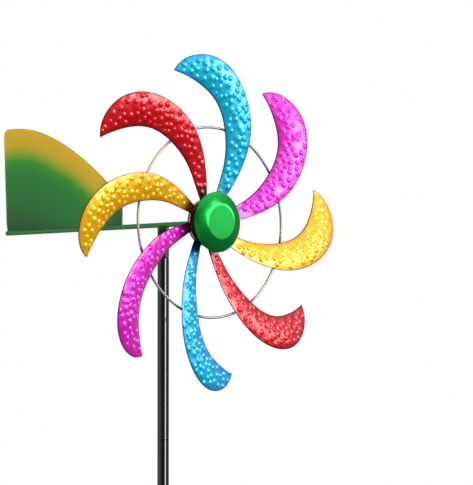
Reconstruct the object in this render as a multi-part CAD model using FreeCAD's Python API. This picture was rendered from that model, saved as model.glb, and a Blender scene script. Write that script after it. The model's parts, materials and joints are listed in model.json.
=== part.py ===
import FreeCAD, Part
import math
import os

# Garden wind spinner: a weather-vane head that turns on a ground pole, with an eight-blade rotor.
# Millimetres. +Z is up. The origin is on the pole's axis at soil level, where the stake meets the
# lowest tube. At rest the rotor faces -Y and the tail vane points to +Y.

Vec = FreeCAD.Vector

# ---- driving dimensions: pole and stake -------------------------------------------------------
POLE_D = 13.5                 # outside diameter of the pole tubes
POLE_WALL = 1.0
STAKE_DEPTH = 128.0           # soil level to the tip of the stake
STAKE_D = 13.0                # solid stake below the tubes
STAKE_SHANK = 30.0            # turned-down length inside the lowest tube
POINT_LENGTH = 43.0           # tapered point of the stake
POINT_TIP_D = 5.0
POLE_SECTIONS = 3             # equal tubes, butted end to end over inner joiners
JOINER_LENGTH = 60.0
JOINER_WALL = 1.2
PLUG_LENGTH = 20.0            # solid plug in the top of the pole
EDGE_BREAK = 0.3              # small chamfer on each tube's rim

PRONG_D = 6.0
PRONG_RISE = 2.0              # soil level to the underside of the crossbar
PRONG_OFFSET = 93.0           # pole axis to prong axis
PRONG_BEND = 10.0             # centreline bend radius
PRONG_HEADING = 135.0         # degrees from +X, counter-clockwise seen from above

# ---- driving dimensions: swivel and boom ------------------------------------------------------
HUB_Z = 675.0                 # height of the rotor's axis
ROTOR_Y = -82.0               # the rotor's plane
BOOM_D = 6.0                  # round rod: tail boom and rotor axle in one piece
BOOM_TAIL_Y = 293.5
SOCKET_LENGTH = 35.0          # socket below the boom's underside
SOCKET_RISE = 1.5             # how far the coped socket comes up the boom's sides
SOCKET_ROOF = 3.0
SWIVEL_PIN_D = 7.0
SWIVEL_PIN_SEAT = 15.0        # pin's length inside the plug
SWIVEL_PIN_ROUNDING = 1.5     # rounded end that carries the head
SWIVEL_WASHER = 1.0
SWIVEL_WASHER_INSET = 0.4     # how much smaller it is in radius than the pole
LINER_WALL = 2.2
LINER_ROOF = 1.4
ROD_CHAMFER = 0.5
RUNNING = 0.05                # radial running clearance of both bearings
AIR = 0.1                     # free axial play between turning faces

# ---- driving dimensions: tail vane ------------------------------------------------------------
VANE_SHEET = 1.0
VANE_FRONT_Y = 73.5
VANE_HEIGHT = 124.5           # above the top of the boom
VANE_FRONT_HEIGHT = 29.0
VANE_RAKE = 6.5               # how far the trailing edge leans back over its height
VANE_CORNER = 9.0             # radius of the top rear corner
VANE_CREST = 22.0             # straight part of the top edge, up to the rear corner's sharp point
VANE_TOP_CURVE = [(0.26, 0.58), (0.53, 0.255), (0.78, 0.06)]  # share of its run, share of its fall left
HEM_HEIGHT = 5.0              # folded lower edge
HEM_PROUD = 0.6               # extra thickness of the hem on each side

# ---- driving dimensions: rotor ----------------------------------------------------------------
# Axial positions here count from the rotor's plane, negative towards the front.
BLADE_COUNT = 8
BLADE_COLOURS = ("blue", "magenta", "yellow", "red")
BLADE_SHEET = 0.9             # measured along the rotor's axis
RING_R = 110.0
RING_WIRE_D = 3.0
RING_AXIAL = -1.7            # the wire is welded to the backs of the blades, at their inner edges

SHEET = 1.0                   # pressed hub parts
DRUM_R = 25.0
DRUM_FLANGE_R = 27.8
DRUM_FLANGE_FRONT = 4.2       # the blade roots are welded to this face
DRUM_WEB_FRONT = -7.2
DRUM_HEAD_FRONT = -15.0
DRUM_HEAD_R = 33.8
CAP_R = 35.0
CAP_FRONT = -21.0
CAP_DISC_R = 20.5
CAP_SHOULDER = 6.0            # from the disc's face back to the cap's widest place
CAP_REAR = -13.0
CAP_LIP = 3.0                 # rolled in behind the drum's head
CAP_RIM_BREAK = 0.6
# Bezier poles of the cap's face. The edge runs out from the disc's radius and back from its face. The
# slope's first pole is a radius and a depth, and its second is an inset from the cap's widest place.
CAP_EDGE = [(-1.4, 0.0), (0.3, 0.0), (1.6, 0.45)]
CAP_SLOPE_START = (28.0, 1.9)
CAP_SLOPE_END = (0.2, 2.6)
COVER_DEPTH = 3.0
COVER_INSET = 0.3             # how much smaller it is in radius than the drum's flange
COVER_WALL = 0.4              # straight wall before the rounded corner
BUSH_R = 5.0
BUSH_FLANGE_R = 7.0
BUSH_FLANGE = 1.0
BUSH_LENGTH = 5.0
AXLE_WASHER_R = 6.0
AXLE_WASHER = 0.8
COLLAR_R = 5.5
COLLAR_LENGTH = 4.0
NUT_ACROSS_FLATS = 10.0
NUT_HEIGHT = 5.0
NUT_FACE_INSET = 0.5          # round washer face on the nut's front
NUT_FACE = 1.0
AXLE_OVERRUN = 1.0            # axle end past the nut

# One blade, with its reference line pointing up. Sweep is in degrees from that line, counter-clockwise
# seen from the front. Edges are (radius, sweep).
BLADE_TIP = (180.0, 14.3)
BLADE_INNER_EDGE = [(25.2, -21.5), (47.7, -19.6), (80.0, -16.2), (109.0, -10.9), (138.8, -4.1),
                    (160.6, 4.5)]
BLADE_OUTER_EDGE = [(25.2, -44.8), (55.0, -38.0), (94.0, -31.6), (124.8, -25.2), (150.7, -18.6),
                    (173.6, -11.4), (189.7, -3.9), (194.8, 3.6), (189.2, 10.9)]

# The sheet's form along the middle of the blade: radius, sweep, axial position, pitch in degrees
# (outer edge forward) and droop, which is how far the sheet falls back DROOP_AT from its middle.
# The root lies flat on the drum's flange.
DROOP_AT = 20.0
ROOT_AXIAL = DRUM_FLANGE_FRONT - BLADE_SHEET / 2
BLADE_STATIONS = [
    (18.0, -33.8, ROOT_AXIAL, 0.0, 0.0),
    (28.0, -32.8, ROOT_AXIAL, 0.0, 0.0),
    (44.0, -30.6, 1.1, 7.6, 1.5),
    (66.0, -27.5, -3.2, 11.7, 3.5),
    (105.0, -21.1, -10.2, 15.0, 4.5),
    (140.0, -13.0, -11.1, 14.4, 4.5),
    (170.0, -3.1, -7.4, 9.9, 4.5),
    (181.0, 9.0, 5.5, 2.1, 3.0),
    (178.0, 21.0, 18.2, -4.1, 2.0),
]
PATCH_HALF_WIDTH = 27.0
PATCH_ROWS = 36
PATCH_COLUMNS = 9
BLADE_REACH = 50.0            # more than any blade leaves the rotor's plane, for the outline's cutter
HALVINGS = 40                 # steps in finding a place along a curve

# ---- derived ----------------------------------------------------------------------------------
POLE_R = POLE_D / 2
BOOM_R = BOOM_D / 2
BOOM_UNDER = HUB_Z - BOOM_R
SOCKET_BOTTOM = BOOM_UNDER - SOCKET_LENGTH
POLE_TOP = SOCKET_BOTTOM - SWIVEL_WASHER - AIR
SECTION = POLE_TOP / POLE_SECTIONS
TUBE_BORE_R = POLE_R - POLE_WALL
PIN_R = SWIVEL_PIN_D / 2
PIN_TOP = BOOM_UNDER - SOCKET_ROOF - LINER_ROOF - AIR
LINER_R = PIN_R + RUNNING + LINER_WALL
LINER_TOP = PIN_TOP + AIR + LINER_ROOF
BORE_R = BOOM_R + RUNNING
NUT_FRONT = DRUM_WEB_FRONT - BUSH_FLANGE - 2 * AIR - AXLE_WASHER - NUT_HEIGHT
COVER_REAR = DRUM_FLANGE_FRONT + SHEET + COVER_DEPTH
BUSH_REAR_FACE = COVER_REAR + BUSH_FLANGE
ARC_MID = 1 - math.sqrt(0.5)  # how far a quarter round's middle stands in from its sharp corner, in radii
OVERCUT = 1.0                 # how far a cutter passes the face it opens
NEAR = 0.1                    # tolerance for picking edges by height
Z = Vec(0, 0, 1)
Y = Vec(0, 1, 0)


# ---- shape helpers ----------------------------------------------------------------------------
def cylinder(radius, low, high):
    """Upright cylinder on the pole's axis, between two heights."""
    return Part.makeCylinder(radius, high - low, Vec(0, 0, low), Z)


def sleeve(outer, inner, low, high):
    """Upright cylinder with a bore right through it."""
    return cylinder(outer, low, high).cut(cylinder(inner, low - OVERCUT, high + OVERCUT))


def circles(shape):
    return [e for e in shape.Edges if e.Curve.TypeId == "Part::GeomCircle"]


def boom_rod(start, end):
    """The boom's round rod between two places along Y."""
    return Part.makeCylinder(BOOM_R, end - start, Vec(0, start, HUB_Z), Y)


def on_axle(radius, front, rear, bore=0.0):
    """Disc or ring on the rotor's axis, between two axial positions."""
    start = Vec(0, ROTOR_Y + front, HUB_Z)
    solid = Part.makeCylinder(radius, rear - front, start, Y)
    if bore:
        length = rear - front + 2 * OVERCUT
        solid = solid.cut(Part.makeCylinder(bore, length, start - Y * OVERCUT, Y))
    return solid


def turned(edges):
    """Solid of revolution about the rotor's axis, from edges drawn as (radius, axial) in the XY plane."""
    face = Part.Face(Part.Wire(Part.__sortEdges__(edges)))
    solid = face.revolve(Vec(0, 0, 0), Y, 360)
    solid.translate(Vec(0, ROTOR_Y, HUB_Z))
    return solid


def line(a, b):
    return Part.makeLine(Vec(a[0], a[1], 0), Vec(b[0], b[1], 0))


def polyline(points):
    return [line(a, b) for a, b in zip(points, points[1:])]


def curve(points):
    """Smooth curve through points."""
    spline = Part.BSplineCurve()
    spline.interpolate(points)
    return spline


# ---- pole and stake ---------------------------------------------------------------------------
def pole_section(index):
    """Tube with a small chamfer on both outer rims."""
    low, high = index * SECTION, (index + 1) * SECTION
    body = cylinder(POLE_R, low, high)
    body = body.makeChamfer(EDGE_BREAK, circles(body))
    return body.cut(cylinder(TUBE_BORE_R, low - OVERCUT, high + OVERCUT))


def pole_joiner(index):
    """Inner sleeve across the butt joint above section number index."""
    middle = (index + 1) * SECTION
    half = JOINER_LENGTH / 2
    return sleeve(TUBE_BORE_R, TUBE_BORE_R - JOINER_WALL, middle - half, middle + half)


def stake_point():
    """Solid stake: tapered point, straight body, and a shank inside the lowest tube."""
    cone = Part.makeCone(POINT_TIP_D / 2, STAKE_D / 2, POINT_LENGTH, Vec(0, 0, -STAKE_DEPTH), Z)
    body = cylinder(STAKE_D / 2, -STAKE_DEPTH + POINT_LENGTH, 0)
    shank = cylinder(TUBE_BORE_R, 0, STAKE_SHANK)
    return cone.fuse([body, shank]).removeSplitter()


def side_prong():
    """Bent rod: crossbar out from the pole, then straight down to the depth of the stake."""
    radius = PRONG_D / 2
    height = PRONG_RISE + radius
    corner = PRONG_OFFSET - PRONG_BEND
    mid = PRONG_BEND * math.sqrt(0.5)
    bar = Part.makeLine(Vec(0, 0, height), Vec(corner, 0, height))
    bend = Part.Arc(
        Vec(corner, 0, height),
        Vec(corner + mid, 0, height - PRONG_BEND + mid),
        Vec(PRONG_OFFSET, 0, height - PRONG_BEND),
    ).toShape()
    leg = Part.makeLine(Vec(PRONG_OFFSET, 0, height - PRONG_BEND), Vec(PRONG_OFFSET, 0, -STAKE_DEPTH))
    section = Part.Wire(Part.makeCircle(radius, Vec(0, 0, height), Vec(1, 0, 0)))
    rod = Part.Wire([bar, bend, leg]).makePipeShell([section], True, False)
    rod = rod.cut(cylinder(POLE_R, 0, 2 * height))
    rod.rotate(Vec(0, 0, 0), Z, PRONG_HEADING)
    return rod


def pole_top_plug():
    """Solid plug in the top of the pole that holds the swivel pin."""
    plug = cylinder(TUBE_BORE_R, POLE_TOP - PLUG_LENGTH, POLE_TOP)
    return plug.cut(cylinder(PIN_R, POLE_TOP - SWIVEL_PIN_SEAT, POLE_TOP + OVERCUT))


# ---- swivel -----------------------------------------------------------------------------------
def swivel_pin():
    """Pin that the head turns on, with a rounded top."""
    pin = cylinder(PIN_R, POLE_TOP - SWIVEL_PIN_SEAT, PIN_TOP)
    top = [e for e in circles(pin) if e.BoundBox.ZMax > PIN_TOP - NEAR]
    return pin.makeFillet(SWIVEL_PIN_ROUNDING, top)


def swivel_washer():
    return sleeve(POLE_R - SWIVEL_WASHER_INSET, PIN_R + RUNNING, POLE_TOP, POLE_TOP + SWIVEL_WASHER)


def swivel_liner():
    """Plastic liner of the socket: a sleeve closed at the top, so that the pin's end carries the head."""
    body = cylinder(LINER_R, SOCKET_BOTTOM, LINER_TOP)
    return body.cut(cylinder(PIN_R + RUNNING, SOCKET_BOTTOM - OVERCUT, PIN_TOP + AIR))


def swivel_socket():
    """Upright tube, closed at the top and coped to the boom's underside."""
    body = cylinder(POLE_R, SOCKET_BOTTOM, BOOM_UNDER + SOCKET_RISE)
    bottom = [e for e in body.Edges if e.BoundBox.ZMax < SOCKET_BOTTOM + NEAR]
    body = body.makeChamfer(EDGE_BREAK, bottom)
    body = body.cut(cylinder(LINER_R, SOCKET_BOTTOM - OVERCUT, LINER_TOP))
    return body.cut(boom_rod(-POLE_D, POLE_D))


# ---- boom and vane ----------------------------------------------------------------------------
def boom():
    """Round rod: the rotor's axle at the front, the vane's carrier at the back."""
    rod = boom_rod(ROTOR_Y + NUT_FRONT - AXLE_OVERRUN, BOOM_TAIL_Y)
    return rod.makeChamfer(ROD_CHAMFER, circles(rod))


def vane_outline():
    """Closed outline of the vane in the YZ plane: flat foot, raked rear edge, long falling top curve."""
    top = HUB_Z + BOOM_R + VANE_HEIGHT
    front_top = HUB_Z + BOOM_R + VANE_FRONT_HEIGHT
    rear_top_y = BOOM_TAIL_Y + VANE_RAKE
    crest_y = rear_top_y - VANE_CREST
    run = crest_y - VANE_FRONT_Y
    fall = top - front_top
    middle = [Vec(0, VANE_FRONT_Y + part * run, top - left * fall) for part, left in VANE_TOP_CURVE]
    upper = curve([Vec(0, VANE_FRONT_Y, front_top), *middle, Vec(0, crest_y, top)]).toShape()
    corner_start = Vec(0, rear_top_y - VANE_CORNER, top)
    corner_end = Vec(0, rear_top_y - VANE_RAKE * VANE_CORNER / VANE_HEIGHT, top - VANE_CORNER)
    lean = ARC_MID * VANE_CORNER
    corner = Part.Arc(corner_start, Vec(0, rear_top_y - lean, top - lean), corner_end).toShape()
    rear_foot = Vec(0, BOOM_TAIL_Y, HUB_Z)
    front_foot = Vec(0, VANE_FRONT_Y, HUB_Z)
    return Part.Wire([
        upper,
        Part.makeLine(Vec(0, crest_y, top), corner_start),
        corner,
        Part.makeLine(corner_end, rear_foot),
        Part.makeLine(rear_foot, front_foot),
        Part.makeLine(front_foot, Vec(0, VANE_FRONT_Y, front_top)),
    ])


def tail_vane():
    """Flat sheet with its lower edge folded double, standing on the boom."""
    sheet = Part.Face(vane_outline()).extrude(Vec(VANE_SHEET, 0, 0))
    sheet.translate(Vec(-VANE_SHEET / 2, 0, 0))
    hem_width = VANE_SHEET + 2 * HEM_PROUD
    hem_top = HUB_Z + BOOM_R + HEM_HEIGHT
    corner = Vec(-hem_width / 2, VANE_FRONT_Y, HUB_Z)
    hem = Part.makeBox(hem_width, BOOM_TAIL_Y - VANE_FRONT_Y, hem_top - HUB_Z, corner)
    boom_space = boom_rod(VANE_FRONT_Y - OVERCUT, BOOM_TAIL_Y + OVERCUT)
    return sheet.fuse(hem).removeSplitter().cut(boom_space)


# ---- hub --------------------------------------------------------------------------------------
def hub_drum():
    """Spool that carries everything on the rotor: front head, drum wall, inner web and rear flange."""
    flange_rear = DRUM_FLANGE_FRONT + SHEET
    inside = DRUM_R - SHEET
    web_rear = DRUM_WEB_FRONT + SHEET
    head_rear = DRUM_HEAD_FRONT + SHEET
    return turned(polyline([
        (BUSH_R, DRUM_WEB_FRONT), (inside, DRUM_WEB_FRONT), (inside, DRUM_HEAD_FRONT),
        (DRUM_HEAD_R, DRUM_HEAD_FRONT), (DRUM_HEAD_R, head_rear),
        (DRUM_R, head_rear), (DRUM_R, DRUM_FLANGE_FRONT),
        (DRUM_FLANGE_R, DRUM_FLANGE_FRONT), (DRUM_FLANGE_R, flange_rear), (inside, flange_rear),
        (inside, web_rear), (BUSH_R, web_rear), (BUSH_R, DRUM_WEB_FRONT),
    ]))


def bezier(poles):
    path = Part.BezierCurve()
    path.setPoles([Vec(p[0], p[1], 0) for p in poles])
    return path.toShape()


def cap_profile(offset):
    """Outer (offset 0) or inner line of the cap, from the axis to where its shoulder ends."""
    front = CAP_FRONT + offset
    rim_r = CAP_R - offset
    edge = [(CAP_DISC_R + out, front + back) for out, back in CAP_EDGE]
    end = (rim_r, front + CAP_SHOULDER - offset / 2)
    slope = [
        edge[-1],
        (CAP_SLOPE_START[0], front + CAP_SLOPE_START[1]),
        (rim_r - CAP_SLOPE_END[0], front + CAP_SLOPE_END[1]),
        end,
    ]
    return [line((0, front), edge[0]), bezier(edge), bezier(slope)], end


def hub_cap():
    """Pressed front cap: flat disc, ridge, sloping shoulder, and a rim rolled in behind the drum's head."""
    outer, outer_end = cap_profile(0.0)
    inner, inner_end = cap_profile(SHEET)
    lip_front = DRUM_HEAD_FRONT + SHEET
    lip_r = DRUM_HEAD_R - CAP_LIP
    rim = polyline([
        outer_end, (CAP_R, CAP_REAR - CAP_RIM_BREAK), (CAP_R - CAP_RIM_BREAK, CAP_REAR), (lip_r, CAP_REAR),
        (lip_r, lip_front), (CAP_R - SHEET, lip_front), inner_end,
    ])
    axis = line((0, CAP_FRONT), (0, CAP_FRONT + SHEET))
    return turned(outer + inner + rim + [axis])


def hub_rear_cover():
    """Shallow pan behind the drum, with rounded corners."""
    front = DRUM_FLANGE_FRONT + SHEET
    radius = DRUM_FLANGE_R - COVER_INSET
    bend = COVER_DEPTH - COVER_WALL
    middle = Vec(radius - ARC_MID * bend, COVER_REAR - ARC_MID * bend, 0)
    wall_end, floor_end = (radius, COVER_REAR - bend), (radius - bend, COVER_REAR)
    pan = turned([
        line((BUSH_R, front), (radius, front)),
        line((radius, front), wall_end),
        Part.Arc(Vec(*wall_end, 0), middle, Vec(*floor_end, 0)).toShape(),
        line(floor_end, (BUSH_R, COVER_REAR)),
        line((BUSH_R, COVER_REAR), (BUSH_R, front)),
    ])
    return pan.cut(on_axle(radius - bend, front - OVERCUT, COVER_REAR - SHEET))


def hub_bushes():
    """Two flanged plastic bushes, pressed into the drum's web and the rear cover."""
    web = DRUM_WEB_FRONT
    front = on_axle(BUSH_FLANGE_R, web - BUSH_FLANGE, web, BORE_R)
    front_body = on_axle(BUSH_R, web, web + BUSH_LENGTH, BORE_R)
    rear = on_axle(BUSH_FLANGE_R, COVER_REAR, BUSH_REAR_FACE, BORE_R)
    rear_body = on_axle(BUSH_R, COVER_REAR - BUSH_LENGTH, COVER_REAR, BORE_R)
    return front.fuse(front_body).removeSplitter(), rear.fuse(rear_body).removeSplitter()


def axle_washer(front):
    return on_axle(AXLE_WASHER_R, front, front + AXLE_WASHER, BOOM_R)


def axle_collar():
    """Plain collar behind the rear washer."""
    front = BUSH_REAR_FACE + 2 * AIR + AXLE_WASHER
    return on_axle(COLLAR_R, front, front + COLLAR_LENGTH, BOOM_R)


def lock_nut():
    """Hexagon lock nut on the front end of the axle."""
    corner_r = NUT_ACROSS_FLATS / math.sqrt(3)
    angles = [math.radians(60 * i) for i in range(7)]
    corners = [Vec(corner_r * math.cos(a), 0, corner_r * math.sin(a)) for a in angles]
    block = Part.Face(Part.makePolygon(corners)).extrude(Vec(0, NUT_HEIGHT, 0))
    block.translate(Vec(0, ROTOR_Y + NUT_FRONT, HUB_Z))
    face = on_axle(corner_r - NUT_FACE_INSET, NUT_FRONT, NUT_FRONT + NUT_FACE)
    body = on_axle(corner_r + OVERCUT, NUT_FRONT + NUT_FACE, NUT_FRONT + NUT_HEIGHT)
    bore = on_axle(BOOM_R, NUT_FRONT - OVERCUT, NUT_FRONT + NUT_HEIGHT + OVERCUT)
    return block.common(face.fuse(body)).cut(bore)


# ---- blades and ring --------------------------------------------------------------------------
def in_plane(radius, sweep):
    """Point of the rotor's plane, with the blade's reference line pointing up."""
    angle = math.radians(sweep)
    return Vec(-radius * math.sin(angle), 0, radius * math.cos(angle))


def blade_outline():
    """Flat outline of a blade: two long edges that meet at the tip, and a root that fits the drum."""
    tip = in_plane(*BLADE_TIP)
    inner = curve([in_plane(*p) for p in BLADE_INNER_EDGE] + [tip])
    outer = curve([in_plane(*p) for p in BLADE_OUTER_EDGE] + [tip])
    (root_r, inner_sweep), (_, outer_sweep) = BLADE_INNER_EDGE[0], BLADE_OUTER_EDGE[0]
    middle = in_plane(root_r, (inner_sweep + outer_sweep) / 2)
    root = Part.Arc(in_plane(root_r, outer_sweep), middle, in_plane(root_r, inner_sweep)).toShape()
    return Part.Wire([root, inner.toShape(), outer.toShape()])


def blade_patch():
    """The curved sheet that a blade is cut from, as a face wider and longer than the blade."""
    middle = curve([in_plane(s[0], s[1]) for s in BLADE_STATIONS])
    first, last = middle.FirstParameter, middle.LastParameter
    at = [middle.parameter(in_plane(s[0], s[1])) for s in BLADE_STATIONS]
    form, twist, droop = (curve([Vec(u, s[k], 0) for u, s in zip(at, BLADE_STATIONS)]) for k in (2, 3, 4))

    rows = []
    for i in range(PATCH_ROWS):
        u = first + (last - first) * i / (PATCH_ROWS - 1)
        centre = middle.value(u)
        along = middle.tangent(u)[0]
        across = Vec(along.z, 0, -along.x).normalize()
        row = []
        for j in range(PATCH_COLUMNS):
            w = PATCH_HALF_WIDTH * (2.0 * j / (PATCH_COLUMNS - 1) - 1)
            axial = track_value(form, u) - math.tan(math.radians(track_value(twist, u))) * w
            axial += track_value(droop, u) * (w / DROOP_AT) ** 2
            row.append(centre + across * w + Y * axial)
        rows.append(row)
    surface = Part.BSplineSurface()
    surface.interpolate(rows)
    return surface.toShape()


def track_value(track, u):
    """Height of a spline drawn over u, by halving the parameter span until its place along u is met."""
    low, high = track.FirstParameter, track.LastParameter
    for _ in range(HALVINGS):
        mid = (low + high) / 2
        if track.value(mid).x < u:
            low = mid
        else:
            high = mid
    return track.value((low + high) / 2).y


def blade_blank():
    """One blade on the rotor's axis, with its reference line up."""
    sheet = blade_patch().extrude(Vec(0, BLADE_SHEET, 0))
    sheet.translate(Vec(0, -BLADE_SHEET / 2, 0))
    cutter = Part.Face(blade_outline()).extrude(Vec(0, 2 * BLADE_REACH, 0))
    cutter.translate(Vec(0, -BLADE_REACH, 0))
    return sheet.common(cutter)


def blades():
    """Eight blades, numbered clockwise seen from the front, starting with the one that points up."""
    blank = blade_blank()
    out = {}
    for i in range(BLADE_COUNT):
        blade = blank.copy()
        blade.rotate(Vec(0, 0, 0), Y, i * 360.0 / BLADE_COUNT)
        blade.translate(Vec(0, ROTOR_Y, HUB_Z))
        out[f"blade_{i + 1}_{BLADE_COLOURS[i % len(BLADE_COLOURS)]}"] = blade
    return out


def support_ring():
    return Part.makeTorus(RING_R, RING_WIRE_D / 2, Vec(0, ROTOR_Y + RING_AXIAL, HUB_Z), Y)


# ---- all sub-parts ----------------------------------------------------------------------------
def build():
    front_bush, rear_bush = hub_bushes()
    parts = {
        "stake_point": stake_point(),
        "side_prong": side_prong(),
        "pole_lower_tube": pole_section(0),
        "pole_middle_tube": pole_section(1),
        "pole_upper_tube": pole_section(2),
        "pole_joiner_lower": pole_joiner(0),
        "pole_joiner_upper": pole_joiner(1),
        "pole_top_plug": pole_top_plug(),
        "swivel_pin": swivel_pin(),
        "swivel_washer": swivel_washer(),
        "swivel_liner": swivel_liner(),
        "swivel_socket": swivel_socket(),
        "boom": boom(),
        "tail_vane": tail_vane(),
        "axle_collar": axle_collar(),
        "axle_washer_rear": axle_washer(BUSH_REAR_FACE + AIR),
        "axle_washer_front": axle_washer(DRUM_WEB_FRONT - BUSH_FLANGE - AIR - AXLE_WASHER),
        "axle_lock_nut": lock_nut(),
        "hub_drum": hub_drum(),
        "hub_cap": hub_cap(),
        "hub_rear_cover": hub_rear_cover(),
        "hub_bush_front": front_bush,
        "hub_bush_rear": rear_bush,
        "support_ring": support_ring(),
    }
    parts.update(blades())
    return parts


os.makedirs("parts", exist_ok=True)
for name, shape in build().items():
    (solid,) = shape.Solids
    solid.exportStep(f"parts/{name}.step")
    print(name, "valid" if solid.isValid() else "INVALID", round(solid.Volume, 1))
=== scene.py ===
import json
import math

import bmesh
import bpy
import numpy as np
from mathutils import Matrix, Vector
from mathutils.bvhtree import BVHTree


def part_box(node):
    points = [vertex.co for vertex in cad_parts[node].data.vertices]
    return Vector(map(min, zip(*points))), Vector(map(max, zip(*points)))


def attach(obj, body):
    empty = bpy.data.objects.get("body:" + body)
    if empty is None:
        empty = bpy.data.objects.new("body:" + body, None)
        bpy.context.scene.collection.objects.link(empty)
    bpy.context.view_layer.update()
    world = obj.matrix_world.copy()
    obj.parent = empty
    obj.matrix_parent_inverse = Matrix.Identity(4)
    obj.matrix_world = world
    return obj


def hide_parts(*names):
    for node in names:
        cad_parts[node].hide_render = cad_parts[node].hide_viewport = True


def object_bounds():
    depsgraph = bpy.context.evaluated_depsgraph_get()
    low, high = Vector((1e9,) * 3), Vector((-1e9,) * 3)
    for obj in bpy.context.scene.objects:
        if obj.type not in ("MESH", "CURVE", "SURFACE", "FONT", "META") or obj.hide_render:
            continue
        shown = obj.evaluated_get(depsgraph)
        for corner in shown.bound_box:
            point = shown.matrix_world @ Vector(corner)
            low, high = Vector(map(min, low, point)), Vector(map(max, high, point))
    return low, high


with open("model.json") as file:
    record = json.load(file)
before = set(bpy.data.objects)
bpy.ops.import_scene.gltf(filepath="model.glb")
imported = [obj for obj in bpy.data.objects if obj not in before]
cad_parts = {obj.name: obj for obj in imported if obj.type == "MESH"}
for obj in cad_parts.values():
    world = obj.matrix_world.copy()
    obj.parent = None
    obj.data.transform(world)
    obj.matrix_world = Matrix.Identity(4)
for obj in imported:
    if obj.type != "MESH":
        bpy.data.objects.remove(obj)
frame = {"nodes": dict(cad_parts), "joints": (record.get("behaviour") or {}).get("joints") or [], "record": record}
CAD_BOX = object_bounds()
NODES = frame["nodes"]
MM = 0.001
RNG = np.random.default_rng(7)

# ---- places, all from the frame ----
HUB = Vector(next(j for j in frame["joints"] if j["name"] == "rotor_spin")["pos_m"])
BLADES = sorted(n for n in NODES if n.startswith("blade_"))
GROUND = CAD_BOX[0][2]
UP = Vector((0, 0, 1))
SLOTS = {part["node"]: part["material_slot"] for part in frame["record"]["subparts"]}


def colour_of(blade):
    return blade.split("_")[2]


def turns(count):
    """Angles of count even steps round a full turn."""
    return (2 * math.pi * i / count for i in range(count))


# ---- meshes ----
ROUNDING_STEPS = 6  # segments in each rounded corner of a turned profile
SEAM = 1e-7  # points closer than this are one point
SHARP = 40  # edges sharper than this many degrees stay hard
SWEEP_SHARP = 35


def add_object(name, data):
    obj = bpy.data.objects.new(name, data)
    bpy.context.scene.collection.objects.link(obj)
    return obj


def make_object(name, verts, faces, body, sharp=SHARP, join=False):
    """Smooth mesh object, hard at edges over sharp degrees. join makes points at one place one."""
    mesh = bpy.data.meshes.new(name)
    mesh.from_pydata([tuple(v) for v in verts], [], [tuple(f) for f in faces])
    mesh.validate()
    bm = bmesh.new()
    bm.from_mesh(mesh)
    if join:
        bmesh.ops.remove_doubles(bm, verts=bm.verts, dist=SEAM)
    bmesh.ops.recalc_face_normals(bm, faces=bm.faces)
    bm.to_mesh(mesh)
    bm.free()
    mesh.polygons.foreach_set("use_smooth", [True] * len(mesh.polygons))
    mesh.set_sharp_from_angle(angle=math.radians(sharp))
    obj = add_object(name, mesh)
    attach(obj, body)
    return obj


def set_attribute(obj, name, values, kind="FLOAT", field="value"):
    """Give each point of the mesh its own value."""
    data = obj.data.attributes.new(name, kind, "POINT").data
    data.foreach_set(field, np.asarray(values, np.float32).ravel())


def grid_faces(rows, cols, wrap_rows=False, wrap_cols=False, start=0):
    """Quads of a grid of points numbered row by row."""
    faces = []
    for i in range(rows if wrap_rows else rows - 1):
        for j in range(cols if wrap_cols else cols - 1):
            a, b = i * cols + j, i * cols + (j + 1) % cols
            c, d = (i + 1) % rows * cols + (j + 1) % cols, (i + 1) % rows * cols + j
            faces.append((a + start, b + start, c + start, d + start))
    return faces


def grid_rim(rows, cols):
    """Points round the edge of such a grid, in order."""
    rim = list(range(cols)) + [i * cols + cols - 1 for i in range(1, rows)]
    rim += [(rows - 1) * cols + j for j in range(cols - 2, -1, -1)]
    return rim + [i * cols for i in range(rows - 2, 0, -1)]


def rim_faces(rim, count):
    """Quads from one side's rim to the other's, whose points come count later."""
    return [(a, b, b + count, a + count) for a, b in zip(rim, rim[1:] + rim[:1])]


def rounded(corners, radii):
    """Outline with its inner corners rounded, by one radius per corner, in millimetres."""
    points = [Vector(corner) for corner in corners]
    out = [points[0]]
    for a, b, c, radius in zip(points, points[1:], points[2:], radii[1:]):
        cut = min(radius * MM, (a - b).length * 0.49, (c - b).length * 0.49)
        if cut < SEAM:
            out.append(b)
            continue
        p, q = b + (a - b).normalized() * cut, b + (c - b).normalized() * cut
        for i in range(ROUNDING_STEPS + 1):
            t = i / ROUNDING_STEPS
            out.append(p * (1 - t) ** 2 + b * 2 * t * (1 - t) + q * t * t)
    return out + [points[-1]]


def lathe(node, ending, outline, body, segments, paint, axis="y", centre=(0, 0, 0), closed=True):
    """Turned piece in place of a CAD node. The outline is (radius, place along the axis), closed or open."""
    verts = []
    for angle in turns(segments):
        c, s = math.cos(angle), math.sin(angle)
        for r, h in outline:
            point = (r * c, h, r * s) if axis == "y" else (r * c, r * s, h)
            verts.append(Vector(centre) + Vector(point))
    faces = grid_faces(segments, len(outline), wrap_rows=True, wrap_cols=closed)
    obj = make_object(f"{node}_{ending}", verts, faces, body, join=True)
    obj.data.materials.append(paint)
    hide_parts(node)
    return obj


def sweep(name, path, radius, body, segments):
    """Round bar along a path of points. radius is a number, or a function of the share of the points."""
    path = [Vector(p) for p in path]
    tangents = [(b - a).normalized() for a, b in zip(path[:1] + path[:-1], path[1:] + path[-1:])]
    side = tangents[0].orthogonal().normalized()
    rings = []
    for k, (p, t) in enumerate(zip(path, tangents)):
        side = (side - t * side.dot(t)).normalized()
        other = t.cross(side)
        r = radius(k / (len(path) - 1)) if callable(radius) else radius
        rings.append([p + (side * math.cos(a) + other * math.sin(a)) * r for a in turns(segments)])
    verts = [v for ring in rings for v in ring]
    faces = grid_faces(len(rings), segments, wrap_cols=True)
    faces.append(tuple(range(segments))[::-1])
    faces.append(tuple(range(len(verts) - segments, len(verts))))
    return make_object(name, verts, faces, body, SWEEP_SHARP)


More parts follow.
